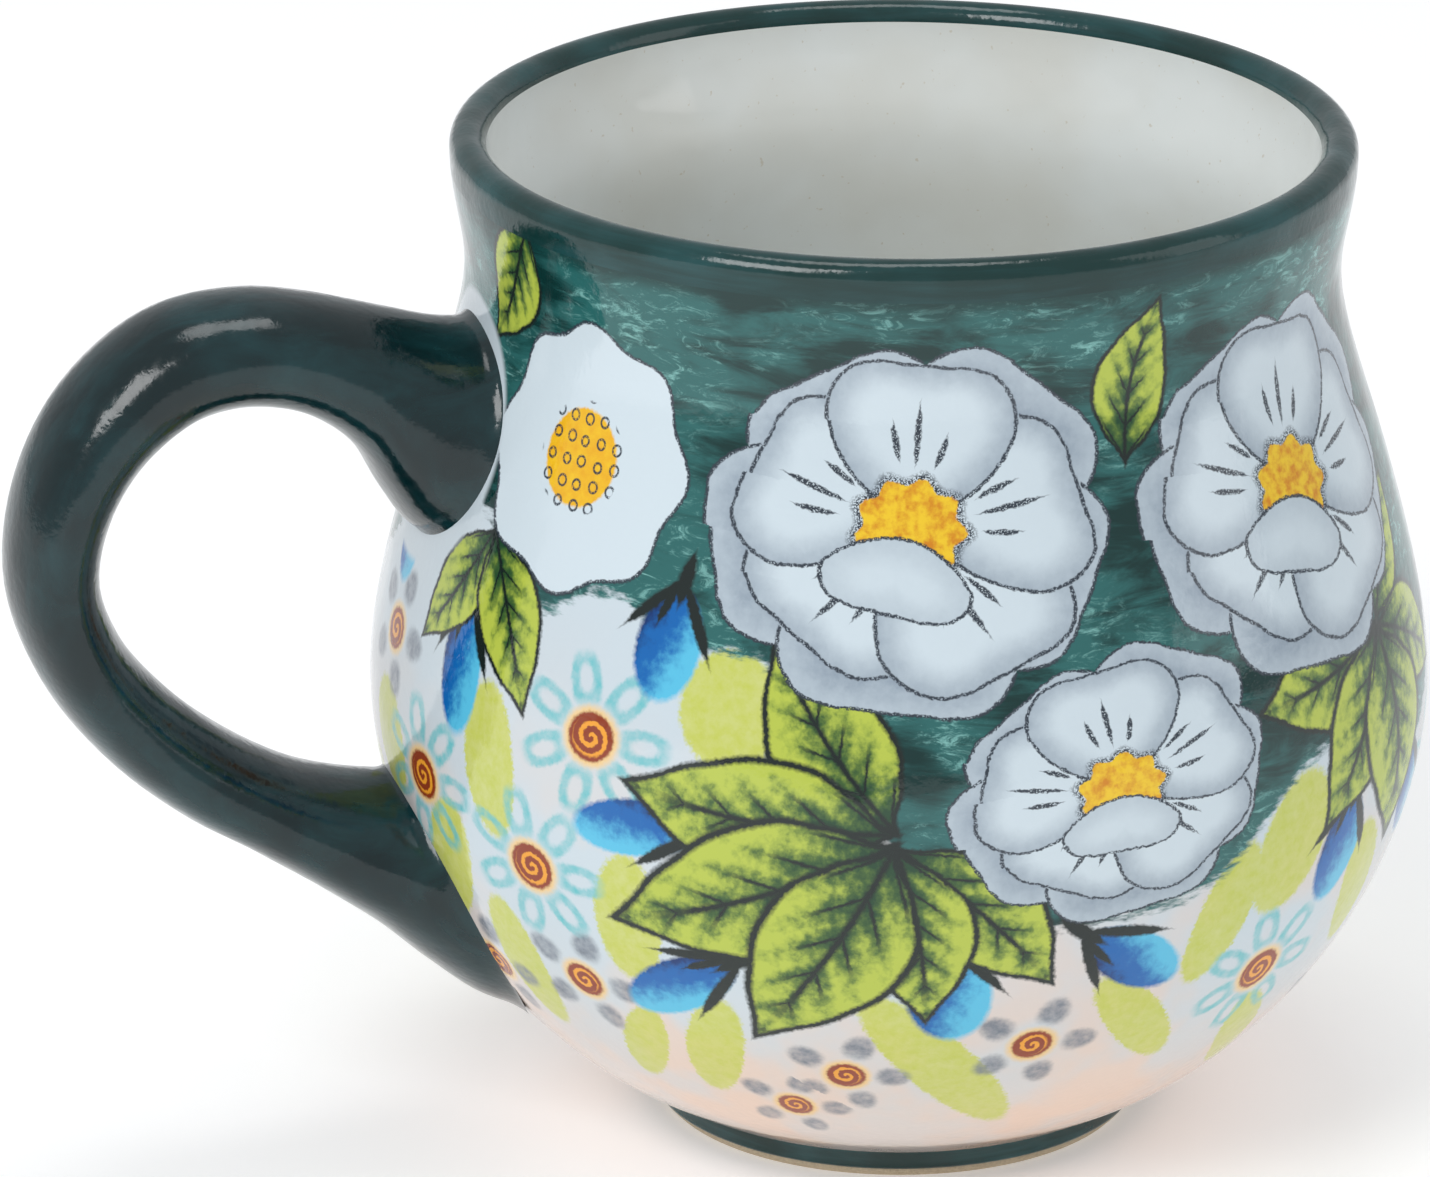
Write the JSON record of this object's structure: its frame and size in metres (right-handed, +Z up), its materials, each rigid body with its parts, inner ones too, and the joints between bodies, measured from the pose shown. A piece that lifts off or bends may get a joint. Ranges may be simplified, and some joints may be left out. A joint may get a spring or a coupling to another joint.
{
  "type": "stoneware mug",
  "caption": "Pot-bellied stoneware mug with a loop handle, foot ring and hand-painted floral glaze.",
  "frame": {"origin": "centre of the foot ring's resting face, on the body's turning axis", "axes": "+Z up along the turning axis; -X from the axis towards the handle; the handle's plane is XZ"},
  "size_m": [0.135, 0.0996, 0.096],
  "materials": {
    "stoneware_body": "fired pale stoneware, fine sandy grain",
    "foot_ring": "bare fired stoneware, sanded smooth where it stands",
    "handle_core": "fired pale stoneware",
    "handle_upper_slip_joint": "fired slip",
    "handle_lower_slip_joint": "fired slip",
    "exterior_glaze": "clear gloss glaze over hand-painted flowers on green wash and white ground",
    "interior_glaze": "plain white gloss glaze",
    "rim_glaze_band": "dark green gloss glaze",
    "foot_glaze_band": "dark green gloss glaze",
    "underside_glaze": "clear gloss glaze over pale clay",
    "handle_glaze": "dark green gloss glaze"
  },
  "bodies": {
    "root": {"stoneware_body": "stoneware_body", "foot_ring": "foot_ring", "handle_core": "handle_core", "handle_upper_slip_joint": "handle_upper_slip_joint", "handle_lower_slip_joint": "handle_lower_slip_joint", "exterior_glaze": "exterior_glaze", "interior_glaze": "interior_glaze", "rim_glaze_band": "rim_glaze_band", "foot_glaze_band": "foot_glaze_band", "underside_glaze": "underside_glaze", "handle_glaze": "handle_glaze"}
  },
  "joints": []
}
